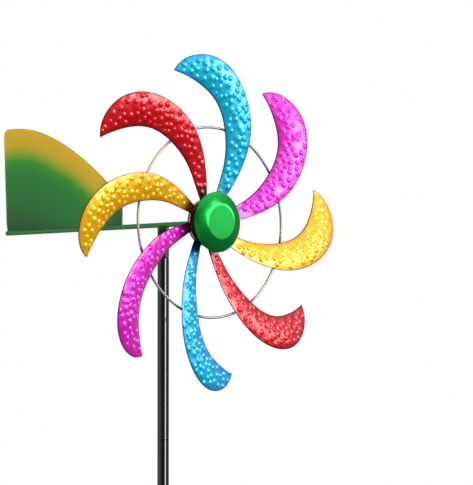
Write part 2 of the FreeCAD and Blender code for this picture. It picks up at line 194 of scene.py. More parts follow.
# ---- materials ----
class Shader:
    """Nodes of a material or a world. put() adds one: inputs that are sockets are linked, others set."""

    def __init__(self, owner, output="OutputMaterial"):
        owner.use_nodes = True
        self.owner, self.tree = owner, owner.node_tree
        self.tree.nodes.clear()
        self.output = self.put(output)

    def put(self, kind, settings=None, **inputs):
        node = self.tree.nodes.new("ShaderNode" + kind)
        for key, value in (settings or {}).items():
            setattr(node, key, value)
        for key, value in inputs.items():
            numbered = key[0] == "i" and key[1:].isdigit()
            self.set(node.inputs[int(key[1:]) if numbered else key.replace("_", " ")], value)
        return node

    def set(self, socket, value):
        if isinstance(value, bpy.types.NodeSocket):
            self.tree.links.new(value, socket)
        else:
            socket.default_value = value

    def math(self, operation, a, b=0.0, c=0.0, clamp=False):
        node = self.put("Math", {"operation": operation, "use_clamp": clamp}, i0=a, i1=b, i2=c)
        return node.outputs[0]

    def scaled(self, value, by, plus, clamp=False):
        return self.math("MULTIPLY_ADD", value, by, plus, clamp)

    def ramp(self, factor, stops, smooth=True):
        node = self.put("ValToRGB", Fac=factor)
        ramp = node.color_ramp
        ramp.interpolation = "EASE" if smooth else "LINEAR"
        while len(ramp.elements) < len(stops):
            ramp.elements.new(0.5)
        for element, (place, colour) in zip(ramp.elements, stops):
            element.position = place
            element.color = (*colour, 1)
        return node.outputs[0]

    def mix(self, factor, a, b, blend="MIX"):
        node = self.put("Mix", {"data_type": "RGBA", "blend_type": blend})
        self.set(node.inputs[0], factor)
        for k, colour in ((6, a), (7, b)):
            self.set(node.inputs[k], colour if isinstance(colour, bpy.types.NodeSocket) else (*colour, 1))
        return node.outputs[2]

    def grey(self, level):
        return self.put("CombineColor", Red=level, Green=level, Blue=level).outputs[0]

    def step(self, value, low, high, at_low=0.0, at_high=1.0):
        """Smooth step from at_low to at_high, as value goes from low to high."""
        return self.put("MapRange", {"interpolation_type": "SMOOTHSTEP"}, Value=value, From_Min=low,
                        From_Max=high, To_Min=at_low, To_Max=at_high).outputs[0]

    def vector(self, operation, a, *b):
        """Result of a vector operation, as a vector or a number, whichever it gives."""
        node = self.put("VectorMath", {"operation": operation}, **{f"i{k}": v for k, v in enumerate((a, *b))})
        return node.outputs["Value" if operation in ("DOT_PRODUCT", "LENGTH") else "Vector"]

    def attribute(self, name, output="Fac"):
        return self.put("Attribute", {"attribute_name": name}).outputs[output]

    def place(self):
        return self.put("TexCoord").outputs["Object"]

    def facing(self, blend):
        return self.put("LayerWeight", Blend=blend).outputs["Facing"]

    def noise(self, scale, detail=3.0):
        return self.put("TexNoise", Vector=self.place(), Scale=scale, Detail=detail).outputs["Fac"]

    def bump(self, height, distance, strength, **under):
        node = self.put("Bump", Height=height, Distance=distance, Strength=strength, **under)
        return node.outputs["Normal"]

    def surface(self, shader):
        self.tree.links.new(shader, self.output.inputs["Surface"])

    def principled(self, **inputs):
        self.surface(self.put("BsdfPrincipled", **inputs).outputs[0])
        return self.owner


def material(name):
    return Shader(bpy.data.materials.new(name))


def srgb(r, g, b):
    """Linear colour from 0 to 255 display values."""
    return tuple((v / 255 / 12.92) if v <= 10 else ((v / 255 + 0.055) / 1.055) ** 2.4 for v in (r, g, b))


CANDY = {  # light and deep tone of each lacquer, and the colour of its painted reflection on the ring
    "blue": ((0.0, 0.33, 0.49), (0.0, 0.14, 0.37), (0.25, 0.66, 0.80)),
    "magenta": ((0.58, 0.020, 0.44), (0.34, 0.002, 0.21), (0.72, 0.34, 0.66)),
    "yellow": ((0.63, 0.39, 0.001), (0.52, 0.17, 0.0), (0.82, 0.78, 0.30)),
    "red": ((0.52, 0.003, 0.010), (0.22, 0.0, 0.002), (0.72, 0.24, 0.28)),
}
ROOT_SHADE = (29 * MM, 52 * MM)  # from the axle: a blade has painted shade, nearly black, under the hub to the first, and full colour from the second
RIM_SHADE_LINE = (0.2 * MM, 1.2 * MM)  # from a blade's rim: a near-black line of painted shade to the first, full colour from the second
RIM_SHADE_BAND = 6 * MM  # painted shade: the lacquer is darker this close to the rim


def candy_paint(name, light, deep):
    """Candy lacquer with flakes under a clear coat. Painted light: lighter on the dimples' crowns, darker between
    them and near the rim, a dark line of painted shade along the rim, and painted shade, nearly black, at the root
    under the hub.
    """
    s = material(name)
    rim = s.attribute("rim_distance")
    tone = s.scaled(s.facing(0.5), 1.1, -0.13)
    tone = s.scaled(s.noise(38.0, 2.0), 0.4, tone)
    # painted highlight on the dimples' crowns, painted shade between them
    tone = s.scaled(s.attribute("bump_rise"), -0.7, tone)
    # painted shade in a band near the rim
    tone = s.math("ADD", tone, s.step(rim, 0.0, RIM_SHADE_BAND, 0.55, 0.12), clamp=True)
    paint = s.mix(tone, light, deep)
    flakes = s.put("TexVoronoi", Vector=s.place(), Scale=2600.0).outputs["Color"]
    glint = s.math("MULTIPLY", s.math("GREATER_THAN", flakes, 0.95), 0.1)
    paint = s.mix(glint, paint, tuple(min(1.0, c * 1.3 + 0.1) for c in light))
    # painted shade at the root, under the hub cap
    coloured = s.step(s.attribute("hub_distance"), *ROOT_SHADE)
    paint = s.mix(coloured, tuple(0.3 * c ** 1.5 + 0.001 for c in deep), paint)
    # painted shade: a near-black line along the rim, where the coat is left off too
    inside = s.step(rim, *RIM_SHADE_LINE)
    paint = s.mix(inside, tuple(c * 0.12 for c in deep), paint)
    grain = s.bump(s.noise(900.0, 2.0), 0.02 * MM, 0.1)
    return s.principled(
        Base_Color=paint, Metallic=0.4, Roughness=s.scaled(s.noise(60.0), 0.12, 0.38),
        Specular_IOR_Level=0.0, Coat_Weight=s.math("MULTIPLY", inside, 0.72), Coat_Roughness=0.21,
        Coat_IOR=1.5, Normal=s.bump(s.noise(90.0, 0.0), 0.25 * MM, 0.25, Normal=grain),
    )


def gloss_paint(name, colour, roughness, coat, metallic=0.0, peel=0.06, spread=0.15, ior=1.5):
    """Sprayed enamel, with orange peel this many mm deep. colour may be a function that makes one."""
    s = material(name)
    colour = colour(s) if callable(colour) else colour
    tone = s.scaled(s.noise(30.0, 4.0), spread, 1.0 - spread / 2)
    return s.principled(
        Base_Color=s.mix(1.0, colour, s.grey(tone), "MULTIPLY"), Metallic=metallic, IOR=ior,
        Roughness=s.scaled(s.noise(80.0), 0.1, roughness - 0.05),
        Coat_Weight=coat, Coat_Roughness=0.06, Normal=s.bump(s.noise(420.0, 2.0), peel * MM, 0.6),
    )


def zinc():
    """Zinc-plated steel with fine turning marks."""
    s = material("zinc_plate")
    marks = s.put("TexWave", {"wave_type": "BANDS", "bands_direction": "Y"}, Vector=s.place(), Scale=900.0,
                  Distortion=1.5).outputs[0]
    tone = s.ramp(s.noise(150.0, 4.0), [(0.3, (0.42, 0.43, 0.45)), (0.7, (0.66, 0.67, 0.68))])
    rough = s.scaled(s.noise(200.0), 0.2, 0.22)
    return s.principled(Base_Color=tone, Metallic=1.0, Roughness=rough, Normal=s.bump(marks, 0.01 * MM, 0.3))


def nylon():
    """Natural nylon, slightly translucent and matt."""
    s = material("natural_nylon")
    tone = s.ramp(s.noise(90.0), [(0.3, srgb(206, 204, 192)), (0.7, srgb(232, 231, 222))])
    return s.principled(
        Base_Color=tone, Roughness=s.scaled(s.noise(300.0), 0.15, 0.42), Subsurface_Weight=0.1,
        Subsurface_Radius=(0.002, 0.002, 0.002), Normal=s.bump(s.noise(700.0), 0.02 * MM, 0.5),
    )


def tinted_wire():
    """Metallic wire in the colour of its painted reflection of the blades, with painted shade: darker where it
    turns away.
    """
    s = material("tinted_wire")
    tone = s.mix(s.math("MULTIPLY", s.noise(300.0), 0.2), s.attribute("tint", "Color"), (0.3, 0.3, 0.32))
    # painted shade: darker towards the wire's edges, where it turns from view
    edge_shade = s.scaled(s.facing(0.35), 2.6, -0.5, clamp=True)
    return s.principled(
        Base_Color=s.mix(s.math("MULTIPLY", edge_shade, 0.95), tone, (0.03, 0.03, 0.035)), Metallic=0.5,
        Roughness=s.scaled(s.noise(160.0), 0.1, 0.2), Coat_Weight=0.2, Coat_Roughness=0.1,
        Normal=s.bump(s.noise(800.0), 0.02 * MM, 0.4),
    )


def hub_green():
    """Candy green over bright metal."""
    s = material("hub_green_enamel")
    return s.principled(
        Base_Color=s.mix(s.noise(45.0, 4.0), (0.0, 0.19, 0.023), (0.001, 0.215, 0.028)), Metallic=0.7,
        Roughness=s.scaled(s.noise(90.0), 0.06, 0.15), Specular_IOR_Level=0.05,
        Coat_Weight=0.15, Coat_Roughness=0.06, Normal=s.bump(s.noise(380.0, 2.0), 0.02 * MM, 0.1),
    )


HIGHLIGHT_IN = 0.5 * MM  # the painted highlight line's distance inside the edge of the drum's flange
HIGHLIGHT_HALF = 0.9375 * MM  # half its width


def flange_highlight(s):
    """Hub black, with a thin painted highlight line near the edge of the rear flange."""
    flat = s.vector("MULTIPLY", s.vector("SUBTRACT", s.place(), tuple(HUB)), (1.0, 0.0, 1.0))
    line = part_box("hub_rear_cover")[1].x - HUB.x - HIGHLIGHT_IN
    away = s.math("ABSOLUTE", s.math("SUBTRACT", s.vector("LENGTH", flat), line))
    share = s.scaled(away, -1.5 / HIGHLIGHT_HALF, 1.5, clamp=True)
    # pale painted highlight along the flange's edge
    return s.mix(share, srgb(10, 6, 6), srgb(226, 184, 170))


VANE_BLEND = 125 * MM  # depth below the vane's top edge at which its last green is reached
VANE_WANDER = 10 * MM  # the blend's edges wander over this height
VANE_EDGE_HIGHLIGHT = (0.15 * MM, 1.3 * MM)  # from the vane's edge: a pale painted highlight to the first, plain paint from the second


def vane_paint():
    """Gold at the top edge, sprayed down into green, with a pale painted highlight along its edges."""
    s = material("vane_blend")
    wander = s.scaled(s.noise(14.0), VANE_WANDER, -VANE_WANDER / 2)
    along = s.math("DIVIDE", s.math("ADD", s.attribute("depth"), wander), VANE_BLEND)
    paint = s.ramp(along, [
        (0.0, srgb(208, 166, 10)), (0.16, srgb(190, 158, 10)), (0.24, srgb(140, 152, 16)),
        (0.32, srgb(50, 136, 18)), (0.43, srgb(18, 116, 32)), (0.75, srgb(14, 98, 34)),
        (1.0, srgb(16, 68, 32)),
    ], smooth=False)
    return s.principled(
        # pale painted highlight along the vane's edges
        Base_Color=s.mix(s.step(s.attribute("edge"), *VANE_EDGE_HIGHLIGHT), srgb(160, 152, 118), paint), Metallic=0.1,
        Roughness=s.scaled(s.noise(70.0), 0.1, 0.3), IOR=1.35, Coat_Weight=0.1,
        Coat_Roughness=0.2, Normal=s.bump(s.noise(260.0), 0.04 * MM, 0.4),
    )


SOCKET_FADE = (9 * MM, 1 * MM)  # below the socket's top: black from the first down, green above the second


def socket_fade(s):
    """Green at the top of the socket, and black below."""
    height = s.put("SeparateXYZ", Vector=s.place()).outputs["Z"]
    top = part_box("swivel_socket")[1].z
    green = s.step(height, *(top - below for below in SOCKET_FADE))
    return s.mix(green, srgb(8, 8, 9), srgb(12, 70, 28))


# ---- outlines read from the CAD nodes ----
CAD_SEAM = 2e-6  # points of a CAD mesh closer than this are one point
FIT_POINTS = 400  # even points along a run that its smooth curve is fitted to
CURVE_DEGREE = 9


def merged(node):
    """A bmesh copy of a CAD node's mesh with its seams joined."""
    bm = bmesh.new()
    bm.from_mesh(NODES[node].data)
    bmesh.ops.remove_doubles(bm, verts=bm.verts, dist=CAD_SEAM)
    bm.normal_update()
    return bm


def boundary_loop(faces, axes):
    """Closed outline of a patch of faces, as an array of the two chosen coordinates."""
    inside = set(faces)
    links = {}
    for face in inside:
        for edge in face.edges:
            if sum(f in inside for f in edge.link_faces) == 1:
                a, b = edge.verts
                links.setdefault(a, []).append(b)
                links.setdefault(b, []).append(a)
    loop, last = [min(links, key=lambda v: v.index)], None
    while True:
        following = next(v for v in links[loop[-1]] if v is not last)
        if following is loop[0]:
            break
        last = loop[-1]
        loop.append(following)
    return np.array([[v.co[k] for k in axes] for v in loop])


def run_between(points, start, stop, avoid):
    """Points of a closed loop from start to stop, going the way round that doesn't pass avoid."""
    for step in (1, -1):
        run = [start]
        while run[-1] != stop:
            run.append((run[-1] + step) % len(points))
        if avoid not in run:
            return points[run]
    raise ValueError("both ways round the outline pass the avoided point")


def lengths(points):
    """Length of a run up to each of its points."""
    return np.concatenate([[0], np.cumsum(np.hypot(*np.diff(points, axis=0).T))])


def read_run(points, places):
    """Points at the given shares of a run's length."""
    along = lengths(points)
    return np.column_stack([np.interp(places, along / along[-1], points[:, k]) for k in (0, 1)])


def smooth_run(points, places):
    """As read_run, but along a smooth curve fitted to the run, so that a fine mesh shows no corners."""
    dense = np.linspace(0, 1, FIT_POINTS)
    even = read_run(points, dense)
    fit = np.polynomial.legendre.Legendre.fit
    return np.column_stack([fit(dense, even[:, k], CURVE_DEGREE, domain=[0, 1])(places) for k in (0, 1)])


# ---- blades ----
RUN_STEPS = 330  # points of a blade's grid from root to tip
CROSS_STEPS = 60  # and from its inner to its outer edge
FIT_DEGREE = (11, 4)  # of the surface fitted to the CAD blade, along it and across it
FRONT_NORMAL = -0.35  # a CAD face is part of the blade's front if its normal's y is below this
ROOT_BAND = 0.2 * MM  # points this close to the smallest radius are on the root's end
PROBE = 0.2  # rays that measure the CAD blade start this far before and behind the hub

# Dimples lie in rows across the blade, a pitch apart, in as many lanes as fit there.
DIMPLE_PITCH = 8.3 * MM
NARROW_PITCH = 0.86  # share of the pitch that is left where the blade has no width
FULL_WIDTH = 30 * MM  # the pitch is whole from this width up
DIMPLE_LANE = 7.9 * MM
ROW_ENDS = (9 * MM, 4 * MM)  # first row after the root, and last one before the tip
SIDE_MARGIN = 3 * MM  # width that the lanes leave free
STAGGER = 0.22  # in lanes, to one side and the other in turn
STRAY = 0.17  # in lanes, at random
DIMPLE_SHIFT = 2.3  # in mm along the blade, at random
DIMPLE_SIZE = (3.5, 4.5)  # radius at the foot, in mm
DIMPLE_RISE = (1.05, 1.4)  # in mm
DIMPLES_LEFT_OUT = 0.1
DIMPLE_CLEAR = 0.75  # least distance from the rim, in radii

WAVES = 16  # shallow ones, for the sheet's hammered look
WAVE_LENGTH = (8, 17)  # in mm
WAVE_HEIGHT = 0.035 * MM
WAVE_MARGIN = 3 * MM  # the waves fade out this close to the rim
SHEET_ROUND = 0.22 * MM  # depth of the rounding on each edge of the sheet
SHEET_LIP = 0.8 * MM  # and its width
BLADE_SHARP = 50


def blade_edges(bm):
    """Inner and outer edge of the upright blade, each a run of (x, z) about the hub, from root to tip."""
    points = boundary_loop([f for f in bm.faces if f.normal.y < FRONT_NORMAL], (0, 2))
    points = points - np.array([HUB.x, HUB.z])
    radius = np.hypot(points[:, 0], points[:, 1])
    swept = np.arctan2(-points[:, 0], points[:, 1])
    root = np.where(radius < radius.min() + ROOT_BAND)[0]
    tip = int(np.argmax(swept))
    inner, outer = int(root[np.argmax(swept[root])]), int(root[np.argmin(swept[root])])
    return run_between(points, inner, tip, outer), run_between(points, outer, tip, inner)


def measured_blade(bm, inner_run, outer_run):
    """Samples (run, cross, y) of the CAD blade's front face, from rays along the axle, and its thickness."""
    tree = BVHTree.FromBMesh(bm)
    runs, crosses = np.linspace(0, 0.985, 80), np.linspace(0.03, 0.97, 15)
    inner, outer = smooth_run(inner_run, runs), smooth_run(outer_run, runs)
    samples, thick = [], []
    for i, run in enumerate(runs):
        for cross in crosses:
            x, z = inner[i] * (1 - cross) + outer[i] * cross
            hits = [tree.ray_cast(Vector((x + HUB.x, HUB.y - way * PROBE, z + HUB.z)), Vector((0, way, 0)))[0]
                    for way in (1, -1)]
            if None not in hits:
                samples.append((run, cross, hits[0].y))
                thick.append(hits[1].y - hits[0].y)
    return np.array(samples), float(np.median(thick))


def blade_blank():
    """The upright blade as a grid: plan positions, axial positions of its front face, and its thickness."""
    bm = merged(BLADES[0])
    inner_run, outer_run = blade_edges(bm)
    samples, thick = measured_blade(bm, inner_run, outer_run)
    bm.free()
    grid = np.polynomial.legendre.legvander2d
    basis = grid(2 * samples[:, 0] - 1, 2 * samples[:, 1] - 1, FIT_DEGREE)
    weights = np.linalg.lstsq(basis, samples[:, 2], rcond=None)[0]
    runs, crosses = np.linspace(0, 1, RUN_STEPS), np.linspace(0, 1, CROSS_STEPS)
    inner, outer = smooth_run(inner_run, runs), smooth_run(outer_run, runs)
    inner[-1] = outer[-1] = (inner[-1] + outer[-1]) / 2
    cross = crosses[None, :, None]
    plan = inner[:, None, :] * (1 - cross) + outer[:, None, :] * cross
    u, v = np.meshgrid(2 * runs - 1, 2 * crosses - 1, indexing="ij")
    axial = grid(u, v, FIT_DEGREE) @ weights
    axial[-1] = axial[-1].mean()
    return plan, axial, thick


def blade_width(plan):
    return np.hypot(*(plan[:, -1] - plan[:, 0]).T)


def wave_field(plan, random):
    """Waves that run across the blade in random directions."""
    ripple = np.zeros(plan.shape[:2])
    for _ in range(WAVES):
        heading, phase = random.uniform(0, 2 * math.pi, 2)
        count = 2 * math.pi / (random.uniform(*WAVE_LENGTH) * MM)
        along = plan[..., 0] * math.cos(heading) + plan[..., 1] * math.sin(heading)
        ripple += WAVE_HEIGHT * np.cos(count * along + phase)
    return ripple


def dimple_field(plan, random):
    """Height of the raised dimples over the blade."""
    steps = lengths(plan[:, CROSS_STEPS // 2])
    width = blade_width(plan)
    height = np.zeros(plan.shape[:2])
    place, row = ROW_ENDS[0], 0
    while place < steps[-1] - ROW_ENDS[1]:
        here = width[int(np.searchsorted(steps, place))]
        lanes = max(1, int(round((here - SIDE_MARGIN) / DIMPLE_LANE)))
        stagger = STAGGER if row % 2 else -STAGGER
        for lane in range(lanes):
            share = (lane + 0.5 + stagger + random.uniform(-STRAY, STRAY)) / lanes
            shift = random.uniform(-DIMPLE_SHIFT, DIMPLE_SHIFT) * MM
            size = random.uniform(*DIMPLE_SIZE) * MM
            rise = random.uniform(*DIMPLE_RISE) * MM
            keep = random.random() > DIMPLES_LEFT_OUT
            k = int(np.clip(np.searchsorted(steps, place + shift), 1, RUN_STEPS - 2))
            j = int(np.clip(round(share * (CROSS_STEPS - 1)), 0, CROSS_STEPS - 1))
            room = min(share, 1 - share) * width[k]
            if keep and room >= size * DIMPLE_CLEAR:
                away = np.hypot(plan[..., 0] - plan[k, j, 0], plan[..., 1] - plan[k, j, 1]) / size
                height = np.maximum(height, rise * np.clip(1 - away ** 2, 0, 1) ** 2)
        place += DIMPLE_PITCH * (NARROW_PITCH + (1 - NARROW_PITCH) * min(1, here / FULL_WIDTH))
        row += 1
    return height


def sheet_faces(rows, cols):
    """Faces of a sheet that narrows to one point at its last row: front, back and the edge between them."""
    count = rows * cols
    faces = []
    for base in (0, count):
        faces += grid_faces(rows - 1, cols, start=base)
        last, tip = base + (rows - 2) * cols, base + (rows - 1) * cols
        faces += [(last + j, tip, last + j + 1) for j in range(cols - 1)]
    faces += rim_faces([i for i in grid_rim(rows, cols) if i <= (rows - 1) * cols], count)
    used = np.ones(2 * count, bool)
    for base in (0, count):
        used[base + (rows - 1) * cols + 1: base + rows * cols] = False
    renumber = np.cumsum(used) - 1
    return [tuple(int(renumber[i]) for i in f) for f in faces], used


def turned_about_axle(points, index):
    """Points about the hub, turned clockwise by index eighths of a turn and put in place."""
    angle = 2 * math.pi * index / len(BLADES)
    c, s = math.cos(angle), math.sin(angle)
    x, y, z = points.T
    return np.column_stack([x * c + z * s + HUB.x, y, z * c - x * s + HUB.z])


def build_blade(node, index, blank, random):
    """One dimpled blade: front and back of the sheet, joined by a rounded edge."""
    plan, axial, thick = blank
    ripple = wave_field(plan, random)
    rise = dimple_field(plan, random)
    share = np.linspace(0, 1, CROSS_STEPS)[None, :]
    rim = np.minimum(share, 1 - share) * blade_width(plan)[:, None]
    lip = np.clip(rim / SHEET_LIP, 0, 1)
    bevel = SHEET_ROUND * (1 - np.sqrt(np.clip(1 - (1 - lip) ** 2, 0, 1)))
    formed = axial - rise + ripple * np.clip(rim / WAVE_MARGIN, 0, 1)
    sides = (formed + bevel, formed + thick - bevel)
    verts = np.concatenate([np.stack([plan[..., 0], y, plan[..., 1]], -1) for y in sides]).reshape(-1, 3)
    faces, used = sheet_faces(RUN_STEPS, CROSS_STEPS)
    placed = turned_about_axle(verts, index)[used]
    obj = make_object(node + "_sheet", placed, faces, "rotor", BLADE_SHARP)
    obj.visible_glossy = False  # otherwise the rotor blocks the highlight on the pole behind it
    set_attribute(obj, "hub_distance", np.hypot(verts[:, 0], verts[:, 2])[used])
    for name, values in (("rim_distance", rim), ("bump_rise", np.clip(rise / MM, 0, 1))):
        set_attribute(obj, name, np.tile(values.ravel(), 2)[used])
    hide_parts(node)
    return obj


def build_blades():
    paints = {c: candy_paint("candy_" + c, light, deep) for c, (light, deep, _) in CANDY.items()}
    blank = blade_blank()
    for index, node in enumerate(BLADES):
        build_blade(node, index, blank, RNG).data.materials.append(paints[colour_of(node)])


# ---- ring ----
RING_STEPS, WIRE_STEPS = 480, 20
BLADE_LEAVES = 0.62  # in eighths of a turn, clockwise from a blade's own: where the wire comes out behind it
BLADE_MEETS = 1.24  # and where it reaches the next blade
TINT_LEVEL, TINT_FLOOR = 0.38, 0.02
SHADOW_START = 0.8  # share of the way to the next blade at which the painted shadow of that blade begins
SHADOW_LENGTH = 0.18
BLADE_SHADOW = 0.96  # share of the tint that the painted shadow takes away


def painted_ring_reflection(angle):
    """Painted reflection of the blades on the wire: one blade's colour, blending to the next one's, darkened by a
    painted shadow where it meets that blade.
    """
    # painted reflection: the colours of the two blades on either side
    reflected_colours = [CANDY[colour_of(b)][2] for b in BLADES]
    turn = (angle / (2 * math.pi) * len(reflected_colours) - BLADE_LEAVES) % len(reflected_colours)
    near, far = reflected_colours[int(turn)], reflected_colours[(int(turn) + 1) % len(reflected_colours)]
    share = min(1.0, (turn - int(turn)) / (BLADE_MEETS - BLADE_LEAVES))
    tint = [TINT_LEVEL * (p * (1 - share) + q * share) + TINT_FLOOR for p, q in zip(near, far)]
    # painted shadow where the wire meets the next blade
    shadow = BLADE_SHADOW * min(1.0, max(0.0, (share - SHADOW_START) / SHADOW_LENGTH))
    return [c * (1 - shadow) for c in tint] + [1.0]


def ring_sizes():
    """Radius of the ring, radius of its wire, and its place along the axle."""
    low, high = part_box("support_ring")
    wire = (high.y - low.y) / 2
    return (high.x - low.x) / 2 - wire, wire, (low.y + high.y) / 2


def build_ring():
    radius, wire, plane = ring_sizes()
    verts, colours = [], []
    for angle in turns(RING_STEPS):
        for a in turns(WIRE_STEPS):
            r, y = radius + wire * math.cos(a), plane + wire * math.sin(a)
            verts.append((HUB.x + r * math.sin(angle), y, HUB.z + r * math.cos(angle)))
        colours += [painted_ring_reflection(angle)] * WIRE_STEPS
    faces = grid_faces(RING_STEPS, WIRE_STEPS, True, True)
    obj = make_object("support_ring_wire", verts, faces, "rotor")
    # painted reflection of the blades, and painted shadow at each blade, per point
    set_attribute(obj, "tint", colours, "FLOAT_COLOR", "color")
    obj.data.materials.append(tinted_wire())
    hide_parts("support_ring")


# ---- hub ----
SHEET = 1.0 * MM  # gauge of the hub's sheet
HUB_SEGMENTS = 160
DISC = 20.5 * MM  # radius of the cap's flat front
SHOULDER = (6.5 * MM, 2.1 * MM)  # outwards and back from the disc's edge: where the cap's shoulder steepens
CAP_EDGE = (2.2 * MM, 4.4 * MM)  # inwards from the cap's rim and back from its front: end of the shoulder
CAP_WALL = 7.2 * MM  # the wall of the cap starts this far behind its front
CAP_CURL = 3.6 * MM  # the curled edge at the cap's back reaches this far in
CURL_DEPTH = 0.9 * MM
CURL_CUT = 0.6 * MM  # chamfer outside the curl
INSIDE = (0.5 * MM, 0.4 * MM)  # inside the cap, the shoulder ends this much earlier, the wall starts later
DRUM_WALL = 25.0 * MM  # outer radius of the drum between its two flanges
DRUM_WEB = 7.8 * MM  # the wall across the drum is this far behind its front
FLANGE_LAP = 0.3 * MM  # the drum's rear flange passes the cover's edge by this
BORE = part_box("hub_bush_front")[1].x - HUB.x - 2.0 * MM  # the bushes' flanges pass the hole by 2 mm
COVER_LIP = 2.6 * MM  # width of the cover's turned edge
COVER_GROOVE = (7.0 * MM, 5.6 * MM, 4.2 * MM)  # its groove's start, bottom and end, in from the edge
GROOVE_DEPTH = 0.5 * MM


def hub_lathe(node, ending, outline, paint, closed=True):
    lathe(node, ending, outline, "rotor", HUB_SEGMENTS, paint, centre=(HUB.x, 0, HUB.z), closed=closed)


def hub_section(node):
    """Outer radius of a hub node, and its front and rear places along the axle."""
    low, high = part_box(node)
    return (high.x - low.x) / 2, low.y, high.y


def build_cap():
    rim, front, rear = hub_section("hub_cap")
    inner = rim - SHEET
    corners = [
        (0, front), (DISC, front), (DISC + SHOULDER[0], front + SHOULDER[1]),
        (rim - CAP_EDGE[0], front + CAP_EDGE[1]), (rim, front + CAP_WALL), (rim, rear - CURL_CUT),
        (rim - CURL_CUT, rear), (rim - CAP_CURL, rear), (rim - CAP_CURL, rear - CURL_DEPTH),
        (inner, rear - CURL_DEPTH), (inner, front + CAP_WALL + INSIDE[1]),
        (DISC + SHOULDER[0] - INSIDE[0], front + SHOULDER[1] + SHEET), (DISC, front + SHEET),
        (0, front + SHEET),
    ]
    radii = [0, 2.2, 2.4, 2.6, 2, 0.5, 0.4, 0.25, 0.25, 0.3, 2, 2, 1, 0]
    hub_lathe("hub_cap", "shell", rounded(corners, radii), hub_green(), closed=False)


def build_drum():
    """Spool with a wall across it, and a flange at each end."""
    head, front, rear = hub_section("hub_drum")
    flange = hub_section("hub_rear_cover")[0] + FLANGE_LAP
    inner, web = DRUM_WALL - SHEET, front + DRUM_WEB
    corners = [
        (BORE, web), (inner, web), (inner, front), (head, front), (head, front + SHEET),
        (DRUM_WALL, front + SHEET), (DRUM_WALL, rear - SHEET), (flange, rear - SHEET), (flange, rear),
        (inner, rear), (inner, web + SHEET), (BORE, web + SHEET), (BORE, web),
    ]
    radii = [0, 0.6, 0.8, 0.4, 0.4, 1.6, 0.6, 0.45, 0.3, 0.5, 0.6, 0.1, 0]
    # hub black with a painted highlight line near the rear flange's edge
    highlighted = gloss_paint("hub_drum_enamel", flange_highlight, roughness=0.25, coat=0.0, spread=0.3, ior=1.2)
    hub_lathe("hub_drum", "spool", rounded(corners, radii)[:-1], highlighted)


def build_rear_cover(black):
    """Shallow pan with a groove near its edge."""
    edge, front, rear = hub_section("hub_rear_cover")
    start, bottom, end = (edge - place for place in COVER_GROOVE)
    corners = [
        (BORE, rear), (start, rear), (bottom, rear - GROOVE_DEPTH), (end, rear), (edge, rear), (edge, front),
        (edge - COVER_LIP, front), (edge - COVER_LIP, rear - SHEET), (BORE, rear - SHEET), (BORE, rear),
    ]
    radii = [0, 1.2, 1.5, 1.2, 2.4, 0.25, 0.3, 0.6, 0.1, 0]
    hub_lathe("hub_rear_cover", "pan", rounded(corners, radii)[:-1], black)


# ---- welds ----
BEADS = {  # radius and ripples of each kind of bead, with its body and material slot
    "root": (0.7 * MM, 9, "rotor", "hub_black"),
    "ring": (1.65 * MM, 3, "rotor", "hub_black"),
    "socket": (0.8 * MM, 9, "head", "boom_green"),
    "vane": (0.7 * MM, 7, "head", "boom_green"),
    "prong": (1.1 * MM, 14, "ground_stake", "pole_black"),
}
BEAD_SEGMENTS = 16
ROOT_WELD = (22.5, 44.0)  # in degrees, clockwise from a blade's own eighth of a turn: its root's weld
ROOT_WELD_AT = (0.4 * MM, 1.0 * MM)  # out from the drum's wall, and forwards from its rear flange
RING_WELD = (11.0, 13.6)  # in degrees: a blade's weld to the ring
RING_WELD_AT = 0.5 * MM  # forwards from the middle of the wire


def bead(kind, ending, path, paint):
    """Weld bead along a path: ripples along it, and a taper at both ends."""
    radius, ripples, body, slot = BEADS[kind]

    def size(t):
        taper = min(1.0, 0.45 + 4 * min(t, 1 - t))
        return radius * taper * (0.88 + 0.12 * abs(math.sin(math.pi * ripples * t)))

    weld = sweep(f"weld_{kind}{ending}", path, size, body, BEAD_SEGMENTS)
    weld.data.materials.append(paint)
    return weld


def arc_about_axle(radius, y, degrees, steps):
    """Points on an arc about the hub's axle, between two angles clockwise from the top."""
    start, stop = degrees
    angles = [math.radians(start + (stop - start) * k / steps) for k in range(steps + 1)]
    return np.array([(radius * math.sin(a), y, radius * math.cos(a)) for a in angles])


def build_rotor_welds(black):
    """Each blade's root on the drum, and the ring on its back."""
    radius, _, y = ring_sizes()
    out, forwards = ROOT_WELD_AT
    root = arc_about_axle(DRUM_WALL + out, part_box("hub_drum")[1].y - SHEET - forwards, ROOT_WELD, 30)
    spot = arc_about_axle(radius, y - RING_WELD_AT, RING_WELD, 16)
    for index in range(len(BLADES)):
        bead("root", f"_{index + 1}", turned_about_axle(root, index), black)
        bead("ring", f"_{index + 1}", turned_about_axle(spot, index), black)


# ---- pole, stake and prong ----
TUBE_WALL = 1.0 * MM
TUBE_CUT = 0.3 * MM  # chamfer at a tube's ends
TUBE_RINGS = 12
TUBE_SEGMENTS = 96
SHANK = 5.75 * MM  # radius of the stake's shank, inside the lowest tube
POINT = 43 * MM  # length of the stake's taper
POINT_TIP = 2.5 * MM  # radius of its end
PRONG_BEND = 10 * MM  # radius of the prong's bend
PRONG_BEND_STEPS = 16
PRONG_CUT = 0.5 * MM  # chamfer at its end
PRONG_SEAT = 0.2 * MM  # the prong starts this far inside the pole's surface
PRONG_WELD_AT = (0.7 * MM, 0.1 * MM)  # from the prong's start, and out from its surface


